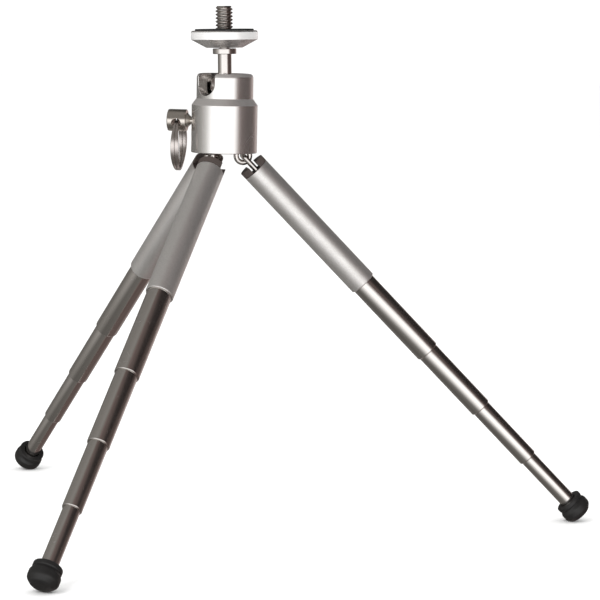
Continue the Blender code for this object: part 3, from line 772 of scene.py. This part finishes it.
def basePlugMesh(values):
    bottom, top, radius = measure("base_plug", headPlace)
    flare, past = values["boreFlare"], values["past"]
    dish = bottom + values["dish"]
    outline = [(0, dish), (values["dishRadius"], dish, values["dishRound"])]
    outline += [(values["dishEdge"], bottom, values["dishRound"])]
    outline += [(radius, bottom, values["edge"]), (radius, top, values["edge"]), (0, top)]
    body = turned("base_plug", eased(outline), values["around"])
    mouth = values["boreRadius"] + 2 * flare
    drill = [(0, bottom - past), (mouth, bottom - past), (mouth, bottom - flare)]
    drill += [(values["boreRadius"], bottom + flare), (values["boreRadius"], top + past), (0, top + past)]
    tool = turned("eye_bore", drill, values["boreSides"])
    changes = []
    for side in sides:
        spot = headPlace.inverted() @ eyePlaces[side].translation
        changes.append(("DIFFERENCE", tool, Matrix.Translation((spot.x, spot.y, 0))))
    return shaped(body, changes)


show("base_plug", basePlugMesh(basePlug), headPlace, "head", "satin_aluminium")


# ball, stem, collar

stem = {
    "ballBore": 2.7, "ballBoreFloor": -3.2, "ballPole": -89.5, "ballSteps": 48, "ballAround": 96,
    "footRound": 0.3, "stemEdge": 0.2, "tenonRadius": 1.9, "tenonRound": 0.2,
    "collarEdge": 0.25, "collarBore": 2.7, "collarBoreEdge": 0.1, "around": 72,
}


def ballMesh(values):
    radius = measure("pivot_ball", stemPlace)[2]
    mouth = degrees(asin(sqrt(radius ** 2 - values["ballBore"] ** 2) / radius))
    outline = [(0, -radius)] + arc((0, 0), radius, values["ballPole"], mouth, values["ballSteps"])
    outline += [(values["ballBore"], values["ballBoreFloor"]), (0, values["ballBoreFloor"])]
    return turned("pivot_ball", outline, values["ballAround"])


def stemMesh(values):
    bottom, top, radius = measure("ball_stem", stemPlace)
    collarTop = measure("stem_collar", stemPlace)[1]
    tenon = values["tenonRadius"]
    outline = [(0, bottom), (radius, bottom, values["footRound"]), (radius, collarTop, values["stemEdge"])]
    outline += [(tenon, collarTop), (tenon, top, values["tenonRound"]), (0, top)]
    return turned("ball_stem", eased(outline), values["around"])


def collarMesh(values):
    bottom, top, radius = measure("stem_collar", stemPlace)
    bore, edge = values["collarBore"], values["collarEdge"]
    outline = [(bore, bottom, values["collarBoreEdge"]), (radius, bottom, edge), (radius, top, edge)]
    outline += [(bore, top, values["collarBoreEdge"])]
    return turned("stem_collar", eased(outline, closed=True), values["around"], closed=True)


show("pivot_ball", ballMesh(stem), stemPlace, "ball", "polished_steel")
show("ball_stem", stemMesh(stem), stemPlace, "platform", "polished_steel")
show("stem_collar", collarMesh(stem), stemPlace, "platform", "polished_steel")


# top plate, its pad and the camera screw

plate = {
    "neckRadius": 6.6, "neckRound": 0.35, "coneHeight": 3.0, "chamfer": 0.5,
    "bore": 3.375, "boreRound": 0.15, "recess": 10.9, "recessDepth": 0.5, "recessRound": 0.1,
    "rimRound": 0.25, "rimBand": 0.3, "rimUpright": 0.9,
    "padLowRound": 0.15, "padTopRound": 0.25, "padBoreRound": 0.2, "around": 144,
}
screw = {
    "pitch": 1.27, "depth": 0.72, "crest": 1.3, "root": 0.12, "tipChamfer": 0.8, "tipSlope": 0.9,
    "rowsPerTurn": 18, "around": 60, "bore": 2.1, "boreDepth": 3.1, "footEdge": 0.15,
    "runOutStart": 0.3, "runOutLength": 0.6,
}


def plateMesh(values):  # its outer rim is frosted, the rest is satin turned
    bottom, top, radius = measure("top_plate", stemPlace)
    rimBase = bottom + values["coneHeight"]
    recessFloor = top - values["recessDepth"]
    edge = values["rimRound"]
    outline = [(values["bore"], bottom, values["boreRound"])]
    outline += [(values["neckRadius"], bottom, values["neckRound"])]
    outline += [(radius, rimBase, edge), (radius, top - values["chamfer"], edge)]
    outline += [(radius - values["chamfer"], top, edge), (values["recess"], top, values["recessRound"])]
    outline += [(values["recess"], recessFloor), (values["bore"], recessFloor, values["recessRound"])]
    mesh = turned("top_plate", eased(outline, closed=True), values["around"], closed=True)
    mesh.materials.append(materials["plate_aluminium"])
    mesh.materials.append(materials["plate_rim"])
    for face in mesh.polygons:
        upright = hypot(face.normal.x, face.normal.y) > values["rimUpright"]
        if upright and hypot(face.center.x, face.center.y) > (radius - values["rimBand"]) * mm:
            face.material_index = 1
    return mesh


def padMesh(values):
    bottom, top, radius = measure("plate_pad", stemPlace)
    outline = [(values["bore"], bottom, values["recessRound"]), (radius, bottom, values["padLowRound"])]
    outline += [(radius, top, values["padTopRound"]), (values["bore"], top, values["padBoreRound"])]
    return turned("plate_pad", eased(outline, closed=True), values["around"], closed=True)


def threadedMesh(values):  # a bored foot in the plate, then a thread that starts above the pad
    bottom, top, radius = measure("camera_screw", stemPlace)
    padBottom = measure("plate_pad", stemPlace)[0]
    pitch, around = values["pitch"], values["around"]
    turns = [2 * pi * step / around for step in range(around)]
    edge = values["footEdge"]
    foot = [(values["bore"], bottom + values["boreDepth"]), (values["bore"], bottom), (radius - edge, bottom),
            (radius, bottom + edge)]
    rings = [[(reach * cos(turn), reach * sin(turn), height) for turn in turns] for reach, height in foot]
    rows = int((top - padBottom) / pitch * values["rowsPerTurn"])
    for row in range(rows + 1):
        height = padBottom + (top - padBottom) * row / rows
        runOut = min(1.0, max(0.0, (height - padBottom - values["runOutStart"]) / values["runOutLength"]))
        tip = radius - max(0.0, height - (top - values["tipChamfer"])) * values["tipSlope"]
        ring = []
        for step, turn in enumerate(turns):
            phase = (height / pitch - step / around) % 1.0
            wave = min(1.0, max(0.0, abs(phase * 2 - 1) * values["crest"] - values["root"]))  # small flats
            reach = min(radius - values["depth"] * (1 - wave) * runOut, tip)
            ring.append((reach * cos(turn), reach * sin(turn), height))
        rings.append(ring)
    return ringsMesh("camera_screw", rings, sharp=50)


show("top_plate", plateMesh(plate), stemPlace, "platform", "plate_aluminium")
show("plate_pad", padMesh(plate), stemPlace, "platform", "black_rubber")
show("camera_screw", threadedMesh(screw), stemPlace, "platform", "polished_steel")
print("head pieces ready")


# clamp screw and the split ring in its cross hole

clamp = {
    "shankRadius": 1.4, "shankRound": 0.2, "tipRadius": 0.3, "tipRound": 0.1,
    "face": 12.35, "neckWide": 2.85, "neckRound": 0.15, "knobStart": 13.9, "knobEdge": 0.35,
    "endRound": 0.6, "endCrown": 0.1, "endFlat": 1.2, "endEdge": 0.4,
    "holeRadius": 1.65, "holeFlare": 0.18, "holeSides": 40, "around": 96,
}
splitRing = {
    "ringRadius": 9.3, "hang": 8.953, "twist": -2.0, "width": 1.0, "corner": 0.18,
    "closed": 0.7, "spread": 0.84, "seam": 0.05,  # a layer's height at top and bottom, and what the sides add
    "jogAt": 180.0, "jogSpan": 13.0, "gap": 3.0, "steps": 220,
}


def clampMesh(values):
    bottom, top, radius = measure("clamp_screw", clampPlace)
    shank = values["shankRadius"]
    outline = [(0, bottom), (values["tipRadius"], bottom, values["tipRound"])]
    outline += [(shank, bottom + shank, values["shankRound"]), (shank, values["face"], values["shankRound"])]
    outline += [(values["neckWide"], values["knobStart"], values["neckRound"])]
    outline += [(radius, values["knobStart"], values["knobEdge"])]
    outline += [(radius, top - values["endCrown"], values["endRound"])]
    outline += [(radius - values["endFlat"], top, values["endEdge"]), (0, top)]
    body = turned("clamp_screw", eased(outline, steps=5), values["around"])
    holeAt = (Vector(joints["ring_swing"]["pos_m"]) - clampPlace.translation).length / mm
    loop = [(x, holeAt + z) for x, z in circle(values["holeRadius"], values["holeSides"])]
    tool = flaredTool("knob_hole", loop, radius, values["holeFlare"], True)
    return finished(shaped(body, [("DIFFERENCE", tool, Matrix.Rotation(pi / 2, 4, "Z"))]), "knob_steel")


def splitRingMesh(values):  # two turns of a wire that is wider at the ring's sides and steps up by one layer
    start = values["jogSpan"] + values["gap"]
    sweepAngle = 720 - 2 * start
    rings = []
    for step in range(values["steps"] + 1):
        angle = start + sweepAngle * step / values["steps"]
        share = min(1.0, max(0.0, (angle - 360 + values["jogSpan"]) / (2 * values["jogSpan"])))
        turn = radians(angle + values["jogAt"])
        layer = values["closed"] + values["spread"] * sin(turn) ** 2
        middle = (share * share * (3 - 2 * share) - 0.5) * layer
        wide, high = values["width"] / 2, (layer - values["seam"]) / 2
        square = ((-wide, -high), (wide, -high), (wide, high), (-wide, high))
        corners = [(out, lift, values["corner"]) for out, lift in square]
        ring = []
        for out, lift in eased(corners, closed=True, steps=4):
            reach = values["ringRadius"] + out
            ring.append((reach * cos(turn), reach * sin(turn), middle + lift))
        rings.append(ring)
    return ringsMesh("split_ring", rings)


holePlace = placeAt(joints["ring_swing"]["pos_m"], joints["clamp_turn"]["axis"],
                    -Vector(joints["ring_swing"]["axis"]))
ringPlace = moved(holePlace, (splitRing["hang"], 0, 0), splitRing["twist"])
show("clamp_screw", clampMesh(clamp), clampPlace, "clamp", "polished_steel")
show("split_ring", finished(splitRingMesh(splitRing), "ring_steel"), ringPlace, "ring", "polished_steel")
print("clamp screw and ring ready")


# legs: eye, link, plug, five tubes and a foot on each of three

eye = {
    "ringRadius": 2.45, "wire": 1.0, "wireSides": 30, "around": 72,
    "shank": 1.2, "shankRound": 0.2, "shankSides": 48,
    "flareTo": 1.75, "flareSink": 0.3, "flareRise": 1.3,
    "waistOut": 0.12, "waistRise": 0.95, "waistRound": 0.8,
}
link = {
    "wire": 0.95, "wireSides": 28, "side": 2.25, "bend": 1.2, "bendSteps": 10, "length": 10.0,
    "endRound": 0.15,
}
plug = {
    "slot": 3.4, "slotFlare": 0.12, "slotAbove": 1.5, "topEdge": 0.35, "exposed": 2.7,
    "seatGap": 0.1, "seatEdge": 0.12, "spigot": 4.6, "spigotEdge": 0.3, "around": 72,
    "prongBore": 1.15, "prongRoom": 0.3, "prongAbove": 0.5, "prongSides": 32,
}
tubes = {
    "walls": (0.4, 0.3, 0.3, 0.3, 0.35), "topEdge": 0.3, "topBoreEdge": 0.12, "boreEdge": 0.1,
    "lipLength": 1.0, "lipGap": 0.06, "lipCurl": 0.42, "curlStart": -12, "curlSteps": 7,
    "neckLength": 3.5, "neckInset": 0.3, "neckEdge": 0.15, "around": 72,
}
foot = {
    "collarRadius": 5.15, "collarHeight": 1.5, "collarEdge": 0.4, "seatEdge": 0.3,
    "grooveInset": 0.35, "grooveDrop": 0.45,
    "bulbDrop": 1.7, "bulbEdge": 0.9, "bulbRise": 2.3, "bulbRound": 1.8,
    "soleInset": 1.7, "soleRise": 0.55, "soleEdge": 1.6, "padInset": 3.6, "padRise": 0.06, "padEdge": 1.2,
    "tubeIn": 4.0, "tubeRoom": 0.3, "bore": 3.2, "boreEdge": 0.25, "around": 96,
}


def eyeMesh(values):
    top = measure("leg_eye_right", eyePlaces["right"])[1]
    ringRadius, shank, wireSides = values["ringRadius"], values["shank"], values["wireSides"]
    section = arc((ringRadius, 0), values["wire"], 0, 360 - 360 / wireSides, wireSides - 1)
    ring = turned("leg_eye", section, values["around"], closed=True)
    start = ringRadius - values["flareSink"]
    outline = [(0, start), (values["flareTo"], start)]
    outline += [(shank + values["waistOut"], ringRadius + values["waistRise"], values["waistRound"])]
    outline += [(shank, ringRadius + values["flareRise"]), (shank, top, values["shankRound"]), (0, top)]
    stalk = turned("eye_shank", eased(outline), values["shankSides"])
    whole = shaped(ring, [("UNION", stalk, Matrix.Rotation(-pi / 2, 4, "X"))], sharp=40)
    whole.transform(Matrix.Rotation(pi / 2, 4, "X"))
    return whole


def linkMesh(values):
    side, bend, reach = values["side"], values["bend"], values["length"]
    outline = [(side, -reach + step) for step in range(int(reach - bend))]
    outline += arc((side - bend, -bend), bend, 0, 90, values["bendSteps"])
    outline += [(-y, z) for y, z in reversed(outline)]
    path = [(0, y, z) for y, z in outline]
    section = circle(values["wire"], values["wireSides"])
    return swept("leg_link", path, section, (1, 0, 0), values["endRound"])


def plugMesh(values, place):
    bottom, top, radius = measure("leg_plug_right", place)
    shoulder = top - values["exposed"] + values["seatGap"]
    spigot = values["spigot"]
    outline = [(0, top), (radius, top, values["topEdge"]), (radius, shoulder, values["seatEdge"])]
    outline += [(spigot, shoulder), (spigot, bottom, values["spigotEdge"]), (0, bottom)]
    body = turned("leg_plug", eased(outline), values["around"])
    half, lip = values["slot"] / 2, 2 * values["slotFlare"]
    right = [(half + 2 * lip, top + values["slotAbove"]), (half + 2 * lip, top + lip)]
    right += [(half, top - lip), (half, top - values["exposed"])]
    loop = right + [(-y, z) for y, z in reversed(right)]
    slot = flaredTool("plug_slot", loop, radius, values["slotFlare"], True)
    changes = [("DIFFERENCE", slot, Matrix.Rotation(pi / 2, 4, "Z"))]
    low, high = -link["length"] - values["prongRoom"], top + values["prongAbove"]
    prong = [(0, low), (values["prongBore"], low), (values["prongBore"], high), (0, high)]
    bore = turned("prong_bore", prong, values["prongSides"])
    for offset in (-link["side"], link["side"]):
        changes.append(("DIFFERENCE", bore, Matrix.Translation((0, offset * mm, 0))))
    return shaped(body, changes)


def tubeMesh(values, index, place):
    bottom, top, radius = measure("tube_%d_right" % (index + 1), place)
    wall = values["walls"][index]
    bore = radius - wall
    boreEdge, neckEdge = values["boreEdge"], values["neckEdge"]
    last = index == len(values["walls"]) - 1
    if index == 0:
        outer = [(bore, top, values["topBoreEdge"]), (radius, top, values["topEdge"])]
        inner = []
    else:
        neck = radius - values["neckInset"]
        base = top - values["neckLength"]
        outer = [(neck - wall, top, boreEdge), (neck, top, neckEdge), (neck, base), (radius, base, neckEdge)]
        inner = [(bore, base - wall), (neck - wall, base)]
    if last:
        low = [(radius, bottom, boreEdge), (bore, bottom, boreEdge)]
    else:
        mouth = measure("tube_%d_right" % (index + 2), place)[2] + values["lipGap"]
        curl = values["lipCurl"]
        lip = bottom + values["lipLength"]
        low = [(radius, bottom + curl)]
        low += arc((radius - curl, bottom + curl), curl, values["curlStart"], -90, values["curlSteps"])[:-1]
        low += [(mouth, bottom, boreEdge), (mouth, lip), (bore, lip)]
    outline = eased(outer + low + inner, closed=True)
    return turned("tube_%d" % (index + 1), outline, values["around"], closed=True)


def footMesh(values, place):
    bottom, top, radius = measure("foot_right", place)
    collar = values["collarRadius"]
    seat = top - values["collarHeight"]
    boreFloor = top - values["tubeIn"] - values["tubeRoom"]
    outline = [(0, boreFloor), (values["bore"], boreFloor), (values["bore"], top, values["boreEdge"])]
    outline += [(collar, top, values["collarEdge"]), (collar, seat, values["seatEdge"])]
    outline += [(collar - values["grooveInset"], seat - values["grooveDrop"], values["seatEdge"])]
    outline += [(radius, seat - values["bulbDrop"], values["bulbEdge"])]
    outline += [(radius, bottom + values["bulbRise"], values["bulbRound"])]
    outline += [(radius - values["soleInset"], bottom + values["soleRise"], values["soleEdge"])]
    outline += [(radius - values["padInset"], bottom + values["padRise"], values["padEdge"]), (0, bottom)]
    return turned("foot", eased(outline, steps=6), values["around"])


def makeLegs():
    place = legPlaces["right"]
    meshes = {"tube_%d" % (index + 1): tubeMesh(tubes, index, place) for index in range(len(tubes["walls"]))}
    eyeShape = eyeMesh(eye)
    linkShape = linkMesh(link)
    plugShape = plugMesh(plug, place)
    footShape = footMesh(foot, place)
    for side in sides:
        leg = "leg_" + side
        show("leg_eye_" + side, eyeShape, eyePlaces[side], "head", "polished_steel")
        show("leg_link_" + side, linkShape, legPlaces[side], leg, "polished_steel")
        show("leg_plug_" + side, plugShape, legPlaces[side], leg, "dark_plastic")
        show("tube_1_" + side, meshes["tube_1"], legPlaces[side], leg, "silver_lacquer")
        for number in range(2, len(tubes["walls"]) + 1):
            tube = "tube_%d" % number
            show(tube + "_" + side, meshes[tube], legPlaces[side], "section_%d_%s" % (number, side), "nickel")
        show("foot_" + side, footShape, legPlaces[side], "section_5_" + side, "foot_rubber")


makeLegs()
print("legs ready")


# CAD pieces that stay: the pusher under the ball and the brass sleeves inside the legs

def keepNodes():
    for name, node in frame["nodes"].items():
        if node.hide_render:
            continue
        node.data.materials.clear()
        node.data.materials.append(materials["brass"])


keepNodes()
